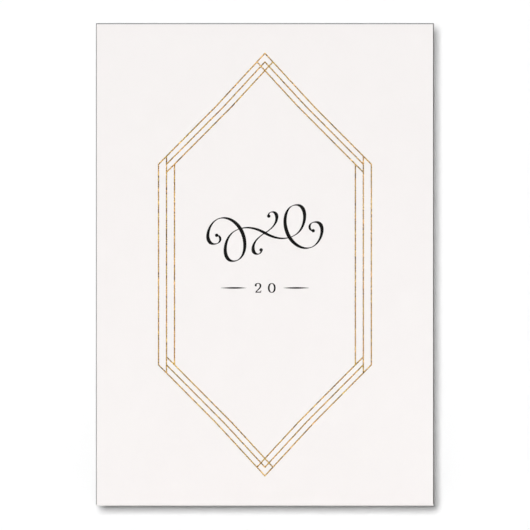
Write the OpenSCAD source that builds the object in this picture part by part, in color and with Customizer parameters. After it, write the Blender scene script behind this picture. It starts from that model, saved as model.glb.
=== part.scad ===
// Table number card: a pasted three-ply board with a gold line frame and black printing.
// The card stands on its bottom edge. +Z is up, -Y is the printed front, and X is the width.
// The origin is the middle of the bottom edge, halfway through the board. Units are millimetres.

/* [Board] */
// Width of the card
card_w = 88.9; // [70:0.1:110]
// Height of the card
card_h = 127; // [120:0.1:180]
// Thickness of the middle ply
core_t = 0.2; // [0.15:0.01:0.6]
// Thickness of the paper pasted to each side
facing_t = 0.13; // [0.08:0.01:0.3]

/* [Gold frame] */
// Thickness of the gold foil above the paper
foil_t = 0.04; // [0.02:0.01:0.08]
// Width of one gold line
line_w = 0.33; // [0.15:0.01:0.5]
// Sideways distance from one gold line to the next
line_gap = 2.1; // [1.6:0.1:3]
// Half the width of the outer line
frame_half_w = 28; // [24:0.5:32]
// Height of the side corners above the card's centre
corner_rise = 26.4; // [22:0.2:30]
// Half the width of the outer line at the bend in its slope
bend_half_w = 12.9; // [11:0.1:15]
// Height of that bend above the card's centre
bend_rise = 41.6; // [39:0.2:44]
// Height of the outer line's point above the card's centre
point_rise = 55.6; // [52:0.2:58]

/* [Flourish] */
// Thickness of the black ink above the paper
ink_t = 0.03; // [0.02:0.01:0.06]
// Height of the flourish's middle above the card's centre
flourish_rise = 8.3; // [7.6:0.1:12]
// Width of the flourish's heaviest strokes
flourish_heavy_w = 0.94; // [0.5:0.02:1]
// Width of its lightest strokes
flourish_light_w = 0.22; // [0.08:0.01:0.3]
// Angle of the pen's broad edge, in degrees
flourish_pen = 24; // [0:1:45]
// Radius of the ball that ends a curl
ball_r = 0.45; // [0.25:0.05:0.5]

/* [Number] */
// Height of the digits
digit_h = 2.5; // [2:0.1:4]
// Distance from the card's centre down to the foot of the digits
digit_drop = 7.4; // [6:0.1:12]
// Distance between the middles of the two digits
digit_pitch = 3.6; // [3:0.1:6]
// Width of a digit's heavy strokes
digit_heavy_w = 0.46; // [0.2:0.02:0.5]
// Width of a digit's light strokes
digit_light_w = 0.18; // [0.08:0.01:0.2]
// Distance from the card's middle to the inner end of a rule
rule_start = 4.9; // [4.5:0.1:8]
// Length of each rule beside the number
rule_len = 6.7; // [3:0.1:12]
// Thickness of a rule at its middle
rule_w = 0.42; // [0.2:0.02:0.6]

/* [Hidden] */

board_t = core_t + 2 * facing_t;
front_y = -board_t / 2;
centre_z = card_h / 2;

// Slopes of a frame line's two straight stretches, as rise over run.
corner_slope = (bend_rise - corner_rise) / (frame_half_w - bend_half_w);
point_slope = (point_rise - bend_rise) / bend_half_w;

// Straight steps along a flourish curve, a digit's curve and half a rule.
FLOURISH_STEPS = 26;
DIGIT_STEPS = 14;
RULE_STEPS = 8;
BALL_SIDES = 32;
// How quickly a pen stroke thickens as it turns away from the pen's angle.
PEN_CONTRAST = 1.6;

// The flourish's right half as Bezier curves, in the order that the pen draws them, with the
// pen's pressure at each curve's start and end. The left half is the same shape turned round.
FLOURISH = [
    [[0, 0], [2.9, -1.7], [6, -2], [8.4, -0.2], 1, 1],
    [[8.4, -0.2], [11, 1.75], [11.3, 7.4], [8.3, 7.4], 1, 1],
    [[8.3, 7.4], [5.3, 7.4], [4.3, 2.6], [6.4, -1], 1, 1],
    [[6.4, -1], [8.15, -4], [11.6, -5], [13.6, -2.8], 1, 1],
    [[13.6, -2.8], [15.5, -0.7], [15.6, 2.9], [13.3, 2.9], 1, 1],
    [[13.3, 2.9], [11.4, 2.9], [11.3, 0.7], [12.7, 0.6], 1, 0.3],
    [[0, 0], [1.5, 0.9], [3.3, 2.4], [3.1, 4.4], 0.6, 1],
    [[3.1, 4.4], [2.95, 5.9], [1, 5.9], [0.9, 4.6], 1, 0.4]
];
// Middles of the balls that end the flourish's curls.
FLOURISH_BALLS = [[12.7, 0.6], [1, 4.45]];

// A figure two as Bezier curves, in a box two units high that stands on its foot.
FIGURE_TWO = [
    [[-0.52, 1.42], [-0.52, 1.78], [-0.3, 1.95], [0, 1.95], 1, 1],
    [[0, 1.95], [0.36, 1.95], [0.5, 1.72], [0.5, 1.42], 1, 1],
    [[0.5, 1.42], [0.5, 0.95], [0, 0.72], [-0.48, 0.14], 1, 0.4]
];
// Its foot and the ball at its start.
FIGURE_TWO_FOOT = [[-0.62, 0], [0.58, 0], [0.7, 0.5], [0.61, 0.5], [0.46, 0.21], [-0.44, 0.21]];
FIGURE_TWO_BALL = [-0.44, 1.46];
FIGURE_TWO_BALL_R = 0.15;
// The right side of a nought, in the same box.
NOUGHT_SIDE = [[0, 1.95], [0.85, 1.95], [0.85, 0.05], [0, 0.05], 1, 1];

// ---- Pen strokes ----

// The point at t, from 0 to 1, on the cubic Bezier curve c.
function bezier(c, t) =
    pow(1 - t, 3) * c[0] + 3 * t * pow(1 - t, 2) * c[1]
    + 3 * t * t * (1 - t) * c[2] + pow(t, 3) * c[3];

// The direction of travel at t on the curve c.
function direction(c, t) =
    let (d = pow(1 - t, 2) * (c[1] - c[0]) + 2 * t * (1 - t) * (c[2] - c[1]) + t * t * (c[3] - c[2]))
    d / norm(d);

// Half a stroke's width at t: heavy across the pen's angle and light along it.
function half_width(c, t, heavy, light, pen) =
    let (
        d = direction(c, t),
        across = abs(d[1] * cos(pen) - d[0] * sin(pen)),
        pressure = c[4] + (c[5] - c[4]) * t
    )
    (light + (heavy - light) * pow(across, PEN_CONTRAST) * pressure) / 2;

// The point at t on one side of a stroke; side is 1 for its left and -1 for its right.
function edge_point(c, t, heavy, light, pen, side) =
    let (d = direction(c, t))
    bezier(c, t) + side * half_width(c, t, heavy, light, pen) * [-d[1], d[0]];

// The outline of one curve of a pen stroke. It starts with a narrow tongue, which lies inside
// the curve before it and so joins the two.
function stroke_outline(c, heavy, light, pen, steps) =
    let (
        left = [for (i = [0:steps]) edge_point(c, i / steps, heavy, light, pen, 1)],
        right = [for (i = [steps:-1:0]) edge_point(c, i / steps, heavy, light, pen, -1)],
        back = c[0] - light / 2 * direction(c, 0)
    )
    concat(left, right, [back + (right[steps] - c[0]) / 2, back + (left[0] - c[0]) / 2]);

module pen_stroke(c, heavy, light, pen, steps) {
    linear_extrude(ink_t)
        polygon(stroke_outline(c, heavy, light, pen, steps));
}

// The ball that ends a stroke.
module ball(middle, r) {
    translate(middle)
        cylinder(h = ink_t, r = r, $fn = BALL_SIDES);
}

// ---- Shared modules ----

// Lays a thin shape, drawn upward from the card's centre, on the front paper.
module on_front() {
    translate([0, front_y, centre_z])
        rotate([90, 0, 0])
            children();
}

// A full-size sheet of the board, with its front at y.
module sheet(y, t) {
    translate([-card_w / 2, y, 0])
        cube([card_w, t, card_h]);
}

// A shape and its mirror image on the other side of the card's middle.
module both_sides() {
    children();
    mirror([1, 0, 0])
        children();
}

// A shape in the upper right, repeated in all four quarters.
module four_quarters() {
    both_sides()
        children();
    mirror([0, 1, 0])
        both_sides()
            children();
}

// ---- Board ----

module card_core() {
    color("linen")
        sheet(front_y + facing_t, core_t);
}

module front_paper() {
    color("whitesmoke")
        sheet(front_y, facing_t);
}

module back_paper() {
    color("snow")
        sheet(front_y + facing_t + core_t, facing_t);
}

// ---- Gold frame ----
// inset is how far a line lies inside the outer one, measured sideways.

// Height of a line's slope at x, on the stretch from the bend to the corner.
function corner_stretch(x, inset) = bend_rise - (x - (bend_half_w - inset)) * corner_slope;

// Height of a line's slope at x, on the stretch from the bend to the point.
function point_stretch(x, inset) = bend_rise - (x - (bend_half_w - inset)) * point_slope;

// The upper right of a line's outline: its point, bend and corner, moved outward by d.
function outline_quarter(inset, d) =
    let (
        point_norm = norm([1, point_slope]),
        corner_norm = norm([1, corner_slope]),
        bend_x = bend_half_w - inset + d * (point_slope + corner_slope) / (point_norm + corner_norm),
        corner_x = frame_half_w - inset + d
    )
    [
        [0, point_stretch(0, inset) + d * point_norm],
        [bend_x, point_stretch(bend_x, inset) + d * point_norm],
        [corner_x, corner_stretch(corner_x, inset) + d * corner_norm]
    ];

// A line's whole outline, moved outward by d.
function outline(inset, d) =
    let (
        upper = outline_quarter(inset, d),
        right = concat(upper, [for (i = [2:-1:0]) [upper[i][0], -upper[i][1]]]),
        left = [for (i = [4:-1:1]) [-right[i][0], right[i][1]]]
    )
    concat(right, left);

// One closed line.
module closed_line(inset) {
    linear_extrude(foil_t)
        difference() {
            polygon(outline(inset, line_w / 2));
            polygon(outline(inset, -line_w / 2));
        }
}

// A slanted band from the point start to the point end, as wide as a line.
module band(start, end) {
    rise = (end[1] - start[1]) / (end[0] - start[0]);
    half = [0, line_w / 2 * norm([1, rise])];
    linear_extrude(foil_t)
        polygon([start - half, end - half, end + half, start + half]);
}

// Keeps what lies inside the outer line.
module inside_outer_line() {
    intersection() {
        children();
        linear_extrude(foil_t)
            polygon(outline(0, -line_w / 2));
    }
}

module outer_shape() {
    closed_line(0);
}

// The uprights run on past their corners to the outer line.
module middle_shape() {
    upright_x = frame_half_w - line_gap;
    inside_outer_line() {
        union() {
            closed_line(line_gap);
            four_quarters()
                translate([upright_x - line_w / 2, corner_rise - line_gap, 0])
                    cube([line_w, 3 * line_gap, foil_t]);
        }
    }
}

// The slopes run on past their uprights to the middle line, and past their points to the outer
// line, so the two slopes of each end cross.
module inner_shape() {
    inset = 2 * line_gap;
    corner_x = frame_half_w - inset;
    middle_x = frame_half_w - line_gap;
    past_x = -1.5 * line_gap;
    difference() {
        union() {
            closed_line(inset);
            four_quarters()
                band([corner_x, corner_stretch(corner_x, inset)], [middle_x, corner_stretch(middle_x, inset)]);
            inside_outer_line()
                four_quarters()
                    band([past_x, point_stretch(past_x, inset)], [line_w, point_stretch(line_w, inset)]);
        }
        middle_shape();
    }
}

module foil_outer_frame() {
    color("goldenrod")
        on_front()
            outer_shape();
}

module foil_middle_frame() {
    color("darkgoldenrod")
        on_front()
            middle_shape();
}

module foil_inner_frame() {
    color("goldenrod")
        on_front()
            inner_shape();
}

// ---- Flourish ----

// The right half of the flourish, about its own middle.
module half_flourish() {
    for (c = FLOURISH)
        pen_stroke(c, flourish_heavy_w, flourish_light_w, flourish_pen, FLOURISH_STEPS);
    for (middle = FLOURISH_BALLS)
        ball(middle, ball_r);
}

module pen_flourish() {
    color("black")
        on_front()
            translate([0, flourish_rise, 0]) {
                half_flourish();
                rotate(180)
                    half_flourish();
            }
}

// ---- Number ----

// One curve of a digit, drawn at the digit's real size.
module digit_stroke(c) {
    k = digit_h / 2;
    sized = [k * c[0], k * c[1], k * c[2], k * c[3], c[4], c[5]];
    pen_stroke(sized, digit_heavy_w, digit_light_w, 0, DIGIT_STEPS);
}

module figure_two() {
    k = digit_h / 2;
    for (c = FIGURE_TWO)
        digit_stroke(c);
    linear_extrude(ink_t)
        polygon(k * FIGURE_TWO_FOOT);
    ball(k * FIGURE_TWO_BALL, k * FIGURE_TWO_BALL_R);
}

module nought() {
    both_sides()
        digit_stroke(NOUGHT_SIDE);
}

module table_numeral() {
    color("black")
        on_front() {
            translate([-digit_pitch / 2, -digit_drop, 0])
                figure_two();
            translate([digit_pitch / 2, -digit_drop, 0])
                nought();
        }
}

// A rule that is thickest in the middle and comes to a fine end on each side.
module swelled_rule() {
    steps = 2 * RULE_STEPS;
    end_w = rule_w / 8;
    upper = [for (i = [0:steps])
        [rule_len * i / steps, (end_w + (rule_w - end_w) * sin(180 * i / steps)) / 2]];
    lower = [for (i = [steps:-1:0]) [upper[i][0], -upper[i][1]]];
    linear_extrude(ink_t)
        polygon(concat(upper, lower));
}

module numeral_rules() {
    color("black")
        on_front()
            translate([0, digit_h / 2 - digit_drop, 0])
                both_sides()
                    translate([rule_start, 0, 0])
                        swelled_rule();
}

card_core();
front_paper();
back_paper();
foil_outer_frame();
foil_middle_frame();
foil_inner_frame();
pen_flourish();
table_numeral();
numeral_rules();
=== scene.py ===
"""Table number card: paper board with gold glitter lines and black printing, before a white wall.

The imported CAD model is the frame. The three plies and the gold lines are rebuilt here as finer meshes
in the same places, and the black printing keeps its CAD solids. Lengths are in metres, and MM turns
millimetres into them.
"""

import math
import bmesh
import bpy
import numpy as np
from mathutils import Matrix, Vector, noise


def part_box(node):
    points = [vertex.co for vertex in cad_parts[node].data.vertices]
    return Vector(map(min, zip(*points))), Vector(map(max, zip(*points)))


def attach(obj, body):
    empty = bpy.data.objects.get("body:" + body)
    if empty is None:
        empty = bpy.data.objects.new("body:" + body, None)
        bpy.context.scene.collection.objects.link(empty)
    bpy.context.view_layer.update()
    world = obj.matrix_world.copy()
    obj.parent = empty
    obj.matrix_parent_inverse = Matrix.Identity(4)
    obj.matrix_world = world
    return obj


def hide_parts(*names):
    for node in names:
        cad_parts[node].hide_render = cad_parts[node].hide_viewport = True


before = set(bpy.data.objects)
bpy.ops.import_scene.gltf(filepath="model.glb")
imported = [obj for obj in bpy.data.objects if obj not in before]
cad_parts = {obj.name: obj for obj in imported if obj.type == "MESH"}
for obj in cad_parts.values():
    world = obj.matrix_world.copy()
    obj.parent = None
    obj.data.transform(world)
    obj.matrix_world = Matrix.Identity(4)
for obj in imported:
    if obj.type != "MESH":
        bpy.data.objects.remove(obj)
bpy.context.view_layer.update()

MM = 0.001
BODY = "root"

# ---- Card ----

CARD_LOW, CARD_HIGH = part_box("card_core")
CARD_CENTRE = (CARD_LOW + CARD_HIGH) / 2

# ---- Node helpers ----

# A noise value seldom leaves this range.
NOISE_LOW = 0.3
NOISE_HIGH = 0.7


def node_adder(tree):
    """A function that adds a node to the tree, changes its settings, and sets or links its inputs."""

    def add(kind, inputs=None, **settings):
        node = tree.nodes.new(kind)
        for key, value in settings.items():
            setattr(node, key, value)
        for key, value in (inputs or {}).items():
            if isinstance(value, bpy.types.NodeSocket):
                tree.links.new(value, node.inputs[key])
            else:
                node.inputs[key].default_value = value
        return node

    return add


def new_material(name):
    """A material with no nodes yet, and the function that adds them."""
    material = bpy.data.materials.new(name)
    material.use_nodes = True
    material.node_tree.nodes.clear()
    return material, node_adder(material.node_tree)


def surface(add, inputs):
    """Gives the material a Principled shader with these inputs as its surface."""
    shader = add("ShaderNodeBsdfPrincipled", inputs)
    add("ShaderNodeOutputMaterial", {"Surface": shader.outputs["BSDF"]})


def place(add):
    """The position on the object, in metres."""
    return add("ShaderNodeTexCoord").outputs["Object"]


def noise_value(add, where, grain, detail, roughness=0.5):
    """A noise from 0 to 1 whose grains are about the given size across."""
    node = add(
        "ShaderNodeTexNoise",
        {"Vector": where, "Scale": 1 / grain, "Detail": detail, "Roughness": roughness},
    )
    return node.outputs["Fac"]


def remap(add, value, low, high, to_low, to_high):
    """A value carried over from one range to another, and level beyond it."""
    node = add(
        "ShaderNodeMapRange",
        {
            "Value": value,
            "From Min": low,
            "From Max": high,
            "To Min": to_low,
            "To Max": to_high,
        },
    )
    return node.outputs["Result"]


def along(add, value, start, end):
    """0 at start and 1 at end, and level beyond them."""
    return remap(add, value, start, end, 0.0, 1.0)


def spread(add, value, to_low, to_high):
    """A noise value carried over from its usual range to another."""
    return remap(add, value, NOISE_LOW, NOISE_HIGH, to_low, to_high)


def total(add, first, second):
    """The sum of two values."""
    return add("ShaderNodeMath", {0: first, 1: second}, operation="ADD").outputs[0]


def mix_colour(add, factor, first, second):
    """The first colour at 0 and the second at 1.

    A Mix node's colour inputs are numbers 6 and 7, and its colour output is number 2.
    """
    node = add("ShaderNodeMix", {0: factor, 6: first, 7: second}, data_type="RGBA")
    return node.outputs[2]


def bump(add, height, distance, normal=None):
    """A normal raised by the height, on top of another normal if one is given."""
    inputs = {"Height": height, "Distance": distance}
    if normal is not None:
        inputs["Normal"] = normal
    return add("ShaderNodeBump", inputs).outputs["Normal"]


# ---- Materials ----


def paper_material():
    """Matte off-white card stock with a faint warm pink cast, a fine tooth and a slight cloudiness."""
    material, add = new_material("card_paper")
    where = place(add)
    cloud = noise_value(add, where, 9 * MM, detail=3.0)
    fibre = noise_value(add, where, 0.5 * MM, detail=5.0, roughness=0.65)
    tooth = noise_value(add, where, 0.28 * MM, detail=3.0)
    mark = noise_value(add, where, 1.6 * MM, detail=2.0)
    tone = total(add, spread(add, cloud, 0.0, 0.6), spread(add, fibre, 0.0, 0.4))
    shaded = (0.792, 0.764, 0.756, 1.0)
    bright = (0.806, 0.778, 0.77, 1.0)
    marked = bump(add, mark, 0.012 * MM)
    inputs = {
        "Base Color": mix_colour(add, tone, shaded, bright),
        "Roughness": remap(add, fibre, 0.2, 0.8, 0.78, 0.9),
        "Specular IOR Level": 0.25,
        "Normal": bump(add, tooth, 0.006 * MM, marked),
    }
    surface(add, inputs)
    return material


def painted_rim_shade_material():
    """Painted shade along the pressed rim of the printed face: a thin grey line, lighter on the left,
    darker on the right, darkest at the top and near paper white at the foot.
    """
    material, add = new_material("rim_painted_shade")
    where = place(add)
    at = add("ShaderNodeSeparateXYZ", {0: where}).outputs
    streak = noise_value(add, where, 0.35 * MM, detail=6.0, roughness=0.7)
    # Each side's tone is painted shade of its own strength.
    left = (0.34, 0.33, 0.325, 1.0)
    right = (0.1, 0.097, 0.095, 1.0)
    top = (0.04, 0.038, 0.037, 1.0)
    foot = (0.88, 0.86, 0.85, 1.0)
    scuffed = (0.3, 0.29, 0.285, 1.0)
    # At a corner, one side's tone turns into the next one's over this length.
    turn = 0.6 * MM
    from_left = along(add, at["X"], CARD_LOW.x, CARD_LOW.x + turn)
    to_top = along(add, at["Z"], CARD_HIGH.z - turn, CARD_HIGH.z)
    to_foot = along(add, at["Z"], CARD_LOW.z + turn, CARD_LOW.z)
    tone = mix_colour(add, from_left, left, right)
    tone = mix_colour(add, to_top, tone, top)
    tone = mix_colour(add, to_foot, tone, foot)
    inputs = {
        "Base Color": mix_colour(add, spread(add, streak, 0.0, 0.25), tone, scuffed),
        "Roughness": 0.9,
        "Specular IOR Level": 0.15,
        "Normal": bump(add, streak, 0.01 * MM),
    }
    surface(add, inputs)
    return material


def cut_side_material():
    """The sheared side of the paper: white fibres with fine streaks left by the blade."""
    material, add = new_material("cut_side")
    where = place(add)
    streak = noise_value(add, where, 0.3 * MM, detail=6.0, roughness=0.7)
    fibre = noise_value(add, where, 0.06 * MM, detail=3.0)
    shaded = (0.62, 0.595, 0.585, 1.0)
    bright = (0.78, 0.755, 0.745, 1.0)
    inputs = {
        "Base Color": mix_colour(add, spread(add, streak, 0.0, 1.0), shaded, bright),
        "Roughness": 0.95,
        "Specular IOR Level": 0.15,
        "Normal": bump(add, fibre, 0.01 * MM),
    }
    surface(add, inputs)
    return material


def core_material():
    """The middle ply, which shows only at the cut edges: fibrous and darker than the facings."""
    material, add = new_material("board_core")
    where = place(add)
    fibre = noise_value(add, where, 0.2 * MM, detail=6.0, roughness=0.7)
    shaded = (0.5, 0.47, 0.44, 1.0)
    bright = (0.68, 0.65, 0.61, 1.0)
    inputs = {
        "Base Color": mix_colour(add, spread(add, fibre, 0.0, 1.0), shaded, bright),
        "Roughness": 0.95,
        "Specular IOR Level": 0.1,
        "Normal": bump(add, fibre, 0.02 * MM),
    }
    surface(add, inputs)
    return material


def foil_material():
    """Gold glitter: fine flakes from dark bronze to pale gold, in patches that lean to rose or olive."""
    material, add = new_material("gold_foil")
    where = place(add)
    patch = noise_value(add, where, 2.5 * MM, detail=1.0)
    cast = noise_value(add, where, 3.5 * MM, detail=2.0)
    flake_size = 0.13 * MM
    flakes = add("ShaderNodeTexVoronoi", {"Vector": where, "Scale": 1 / flake_size})
    # Each flake has its own random red and green, which give its tone and its roughness.
    flake = add("ShaderNodeSeparateColor", {"Color": flakes.outputs["Color"]}).outputs
    patch_share = 0.12
    tone = total(
        add,
        remap(add, patch, 0.35, 0.65, 0.0, patch_share),
        remap(add, flake["Red"], 0.0, 1.0, 0.0, 1.0 - patch_share),
    )
    bronze = (0.025, 0.014, 0.002, 1.0)
    deep_gold = (0.45, 0.21, 0.015, 1.0)
    pale_gold = (1.0, 0.7, 0.23, 1.0)
    ramp = add("ShaderNodeValToRGB", {"Fac": tone})
    stops = ramp.color_ramp.elements
    stops[0].position = 0.38
    stops[0].color = bronze
    stops[1].position = 0.82
    stops[1].color = pale_gold
    stops.new(0.58).color = deep_gold
    rose = (1.04, 0.97, 1.08, 1.0)
    olive = (0.94, 1.03, 0.85, 1.0)
    lean = mix_colour(add, along(add, cast, 0.35, 0.65), rose, olive)
    colour = add(
        "ShaderNodeVectorMath",
        {0: ramp.outputs["Color"], 1: lean},
        operation="MULTIPLY",
    )
    inputs = {
        "Base Color": colour.outputs["Vector"],
        "Roughness": remap(add, flake["Green"], 0.0, 1.0, 0.6, 0.75),
        "Metallic": 0.6,
    }
    surface(add, inputs)
    return material


def ink_material():
    """Dense matte black ink, with the paper's tooth showing through."""
    material, add = new_material("black_ink")
    where = place(add)
    tooth = noise_value(add, where, 0.28 * MM, detail=3.0)
    dense = (0.002, 0.002, 0.002, 1.0)
    thin = (0.008, 0.007, 0.007, 1.0)
    inputs = {
        "Base Color": mix_colour(add, spread(add, tooth, 0.0, 1.0), dense, thin),
        "Roughness": spread(add, tooth, 0.75, 0.88),
        "Specular IOR Level": 0.12,
        "Normal": bump(add, tooth, 0.004 * MM),
    }
    surface(add, inputs)
    return material


paper = paper_material()
# The rim's material paints a thin line of shade along the card's front edge.
rim = painted_rim_shade_material()
cut_side = cut_side_material()
core = core_material()
foil = foil_material()
ink = ink_material()

# ---- Pieces in the place of CAD nodes ----


def stand_in(name, data, node):
    """Adds a finished mesh as the piece that takes a CAD node's place."""
    piece = bpy.data.objects.new(name, data)
    bpy.context.scene.collection.objects.link(piece)
    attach(piece, BODY)
    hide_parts(node)


# ---- Plies ----

# The mesh steps of a felt-marked face and of a plain one.
FELT_STEP = 0.8 * MM
PLAIN_STEP = 12 * MM
# How deep the felt marks of the paper's making are, and how far apart.
FELT_DEPTH = 0.006 * MM
FELT_GRAIN = 2.2 * MM
# The width of the pressed rim, and the depths of a facing's surface across it, from the edge inwards.
RIM = 0.22 * MM
FACING_RIM = [0.09 * MM, 0.05 * MM, 0.02 * MM, 0.006 * MM]
# The way along Y that a ply's outer face looks.
FRONTWARD = -1
BACKWARD = 1
# Where the rim's and the side's materials come among a ply's, after the face's.
RIM_SLOT = 1
SIDE_SLOT = 2


def spaced(low, high, step):
    """Evenly spaced values from low to high, about a step apart."""
    count = max(1, round((high - low) / step))
    return [low + (high - low) * i / count for i in range(count + 1)]


def grid_lines(low, high, inset, step):
    """A ply's mesh lines along one axis: the rim's at both ends, and evenly spaced ones between."""
    first = [low + distance for distance in inset]
    last = [high - distance for distance in reversed(inset)]
    return first + spaced(low + RIM, high - RIM, step) + last


def felt(x, z, seed):
    """The depth of the paper's felt marks at a place on its face."""
    value = noise.noise(Vector((x / FELT_GRAIN, z / FELT_GRAIN, seed)))
    return FELT_DEPTH * min(1.0, max(0.0, 0.5 + value))


def close_behind(mesh, grid, back_y):
    """Adds the sides and the flat back of a sheet whose face is a grid of vertices."""
    around = (
        [column[0] for column in grid]
        + grid[-1][1:]
        + [column[-1] for column in reversed(grid[:-1])]
        + grid[0][-2:0:-1]
    )
    behind = [mesh.verts.new((vertex.co.x, back_y, vertex.co.z)) for vertex in around]
    for here in range(len(around)):
        after = (here + 1) % len(around)
        side = mesh.faces.new((around[here], behind[here], behind[after], around[after]))
        side.material_index = SIDE_SLOT
    mesh.faces.new(behind)


def ply(name, node, face, rim_depths, materials, seed):
    """One ply as a closed sheet that fills its CAD box.

    face is FRONTWARD or BACKWARD. rim_depths gives how far back the surface lies, at even steps
    across the rim from the edge inwards. materials are the face's, the rim's and the side's. A seed
    of None leaves the face plain.
    """
    low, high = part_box(node)
    outer_y, inner_y = (low.y, high.y) if face == FRONTWARD else (high.y, low.y)
    steps = len(rim_depths)
    inset = [RIM * i / steps for i in range(steps)]
    field_step = PLAIN_STEP if seed is None else FELT_STEP
    xs = grid_lines(low.x, high.x, inset, field_step)
    zs = grid_lines(low.z, high.z, inset, field_step)
    last_x = len(xs) - 1
    last_z = len(zs) - 1

    def depth_at(ring, x, z):
        """How far back the face lies at a place so many mesh lines from the edge."""
        if ring < steps:
            return rim_depths[ring]
        if ring == steps or seed is None:
            return 0.0
        return felt(x, z, seed)

    mesh = bmesh.new()
    grid = []
    for i, x in enumerate(xs):
        column = []
        for j, z in enumerate(zs):
            depth = depth_at(min(i, j, last_x - i, last_z - j), x, z)
            column.append(mesh.verts.new((x, outer_y - face * depth, z)))
        grid.append(column)
    for i in range(last_x):
        for j in range(last_z):
            made = mesh.faces.new(
                (grid[i][j], grid[i + 1][j], grid[i + 1][j + 1], grid[i][j + 1])
            )
            made.smooth = True
            if min(i, j, last_x - 1 - i, last_z - 1 - j) < steps:
                made.material_index = RIM_SLOT
    close_behind(mesh, grid, inner_y)
    bmesh.ops.recalc_face_normals(mesh, faces=mesh.faces)
    data = bpy.data.meshes.new(name)
    mesh.to_mesh(data)
    mesh.free()
    for material in materials:
        data.materials.append(material)
    stand_in(name, data, node)


ply("front_sheet", "front_paper", FRONTWARD, FACING_RIM, (paper, rim, cut_side), seed=1.5)
ply("back_sheet", "back_paper", BACKWARD, FACING_RIM, (paper, cut_side, cut_side), seed=7.5)
ply("middle_board", "card_core", FRONTWARD, [0.0], (core, core, core), seed=None)

# ---- Gold lines ----

GOLD_LINES = ("foil_outer_frame", "foil_middle_frame", "foil_inner_frame")
FIRST_GRAIN_SEED = 11
GRAIN = 0.075 * MM
# The thin solid is drawn out this many times in depth while it is cut into grains.
FOIL_STRETCH = 5.0
# A grain is a top one from this share of the thickness up. The lowest top grains lie DIP of the
# thickness below the highest, and a grain sits up to half of SWAY grains to the side.
TOP_FROM = 0.6
DIP = 0.6
SWAY = 0.4


def foil_line(node, material, seed):
    """A gold line rebuilt from its CAD solid as foil grains, each with its own tilt."""
    low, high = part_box(node)
    paper_y = high.y
    thickness = high.y - low.y
    draft = bpy.data.objects.new(node + "_draft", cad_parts[node].data.copy())
    bpy.context.scene.collection.objects.link(draft)
    for vertex in draft.data.vertices:
        vertex.co.y = (vertex.co.y - paper_y) * FOIL_STRETCH
    remesh = draft.modifiers.new("grain", "REMESH")
    remesh.mode = "VOXEL"
    remesh.voxel_size = GRAIN
    data = bpy.data.meshes.new_from_object(
        draft.evaluated_get(bpy.context.evaluated_depsgraph_get())
    )
    bpy.data.objects.remove(draft)
    count = len(data.vertices)
    points = np.empty(count * 3, np.float32)
    data.vertices.foreach_get("co", points)
    points = points.reshape(-1, 3)
    share = np.clip(-points[:, 1] / (thickness * FOIL_STRETCH), 0.0, 1.0)
    random = np.random.default_rng(seed)
    lift = np.where(share > TOP_FROM, 1.0 - DIP * random.random(count), share / 2)
    points[:, 1] = paper_y - thickness * lift
    sway = (random.random((count, 2)) - 0.5) * SWAY * GRAIN
    points[:, 0] += sway[:, 0]
    points[:, 2] += sway[:, 1]
    data.vertices.foreach_set("co", points.ravel())
    data.name = node + "_grains"
    data.materials.clear()
    data.materials.append(material)
    data.update()
    stand_in("gold_" + node, data, node)


for grain_seed, line in enumerate(GOLD_LINES, start=FIRST_GRAIN_SEED):
    foil_line(line, foil, grain_seed)

# ---- Black printing ----

# The ink dries with a rounded shoulder.
SHOULDER = 0.008 * MM
for printed in ("pen_flourish", "table_numeral", "numeral_rules"):
    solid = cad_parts[printed]
    solid.data.materials.clear()
    solid.data.materials.append(ink)
    rounding = solid.modifiers.new("shoulder", "BEVEL")
    rounding.width = SHOULDER
    rounding.segments = 2
    rounding.limit_method = "ANGLE"

# ---- Stage ----

WALL_Y = 2.65
WALL_TOP = 1.6
WALL_FOOT = -0.3
STAGE_HALF = 3.0
FLOOR_ALBEDO = 0.93
WALL_ALBEDO = 0.97
# The share of its albedo that a sheet keeps in its darkest places.
EVENNESS = 0.99


def stage_sheet(name, corners, albedo):
    """A flat sheet of the set, with a very faint unevenness."""
    data = bpy.data.meshes.new(name)
    data.from_pydata(corners, [], [range(len(corners))])
    material, add = new_material(name + "_paint")
    grain = noise_value(add, place(add), 12 * MM, detail=2.0)
    shaded = [albedo * EVENNESS] * 3 + [1.0]
    bright = [albedo] * 3 + [1.0]
    inputs = {
        "Base Color": mix_colour(add, grain, shaded, bright),
        "Roughness": 1.0,
        "Specular IOR Level": 0.0,
    }
    surface(add, inputs)
    data.materials.append(material)
    sheet = bpy.data.objects.new(name, data)
    bpy.context.scene.collection.objects.link(sheet)
    return sheet


floor = stage_sheet(
    "floor",
    [
        (-STAGE_HALF, -STAGE_HALF, 0.0),
        (STAGE_HALF, -STAGE_HALF, 0.0),
        (STAGE_HALF, WALL_Y, 0.0),
        (-STAGE_HALF, WALL_Y, 0.0),
    ],
    FLOOR_ALBEDO,
)
# The front light has to reach the wall below floor level, where the card's shadow ends.
floor.visible_shadow = False
stage_sheet(
    "wall",
    [
        (-STAGE_HALF, WALL_Y, WALL_FOOT),
        (STAGE_HALF, WALL_Y, WALL_FOOT),
        (STAGE_HALF, WALL_Y, WALL_TOP),
        (-STAGE_HALF, WALL_Y, WALL_TOP),
    ],
    WALL_ALBEDO,
)

# ---- Lights ----

FRONT_STRENGTH = 2.45
# The front light stands far off, a touch above and to the left of the camera. On the wall it moves
# the card's shadow this far, and softens its edge over this width.
SHADOW_RIGHT = 1.02 * MM
SHADOW_DROP = 1.3 * MM
SHADOW_BLUR = 3.0 * MM
TOP_POWER = 3.5
BACK_POWER = 6.0
LAMP_SIZE = 0.7


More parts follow.
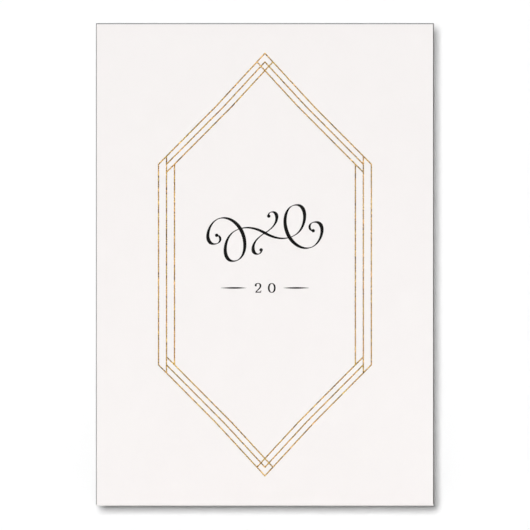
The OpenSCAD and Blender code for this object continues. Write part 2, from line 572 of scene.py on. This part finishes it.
def light(name, kind, energy, direction, location=(0, 0, 0), **settings):
    """Adds a lamp that shines along a direction."""
    data = bpy.data.lights.new(name, kind)
    data.energy = energy
    for key, value in settings.items():
        setattr(data, key, value)
    lamp = bpy.data.objects.new(name, data)
    lamp.location = location
    lamp.rotation_mode = "QUATERNION"
    lamp.rotation_quaternion = Vector(direction).to_track_quat("-Z", "Y")
    bpy.context.scene.collection.objects.link(lamp)


light(
    "front_light",
    "SUN",
    FRONT_STRENGTH,
    (SHADOW_RIGHT, WALL_Y, -SHADOW_DROP),
    angle=math.atan(SHADOW_BLUR / WALL_Y),
)
light(
    "top_light",
    "AREA",
    TOP_POWER,
    (0.0, 0.0, -1.0),
    location=(-0.1, -0.1, 1.0),
    shape="DISK",
    size=LAMP_SIZE,
)
light(
    "back_light",
    "AREA",
    BACK_POWER,
    (-0.3, -1.2, -0.8),
    location=(0.35, 1.3, 0.95),
    shape="DISK",
    size=LAMP_SIZE,
)

# ---- Room ----

# The room is bright at the sides and behind the card, and dim in front of it, so that the wall keeps
# a clear shadow.
FRONT_ROOM = 0.04
SIDE_ROOM = 0.5
ROOM_FALLOFF = 5.0


def room_light():
    """Sets a plain white world whose strength depends on the direction."""
    world = bpy.data.worlds.new("studio")
    bpy.context.scene.world = world
    world.use_nodes = True
    tree = world.node_tree
    add = node_adder(tree)
    direction = add("ShaderNodeTexCoord").outputs["Generated"]
    toward = add("ShaderNodeSeparateXYZ", {0: direction}).outputs
    back = along(add, toward["Y"], -1.0, 0.0)
    rise = add("ShaderNodeMath", {0: back, 1: ROOM_FALLOFF}, operation="POWER")
    level = remap(add, rise.outputs[0], 0.0, 1.0, FRONT_ROOM, SIDE_ROOM)
    background = tree.nodes["Background"]
    background.inputs["Color"].default_value = (1.0, 1.0, 1.0, 1.0)
    tree.links.new(level, background.inputs["Strength"])


room_light()

# ---- Camera ----

# The width of the view, and how far its centre lies to the right of the card's and below it.
FRAME_WIDTH = 139.47 * MM
CAMERA_DISTANCE = 0.5
VIEW_RIGHT = 0.02 * MM
VIEW_DROP = 0.115 * MM
camera_data = bpy.data.cameras.new("camera")
camera_data.type = "ORTHO"
camera_data.ortho_scale = FRAME_WIDTH
camera_data.clip_start = 0.01
camera_data.clip_end = 10.0
camera = bpy.data.objects.new("camera", camera_data)
camera.location = (
    CARD_CENTRE.x + VIEW_RIGHT,
    CARD_CENTRE.y - CAMERA_DISTANCE,
    CARD_CENTRE.z - VIEW_DROP,
)
camera.rotation_euler = (math.pi / 2, 0.0, 0.0)
bpy.context.scene.collection.objects.link(camera)
bpy.context.scene.camera = camera

bpy.context.scene.view_settings.view_transform = "Standard"
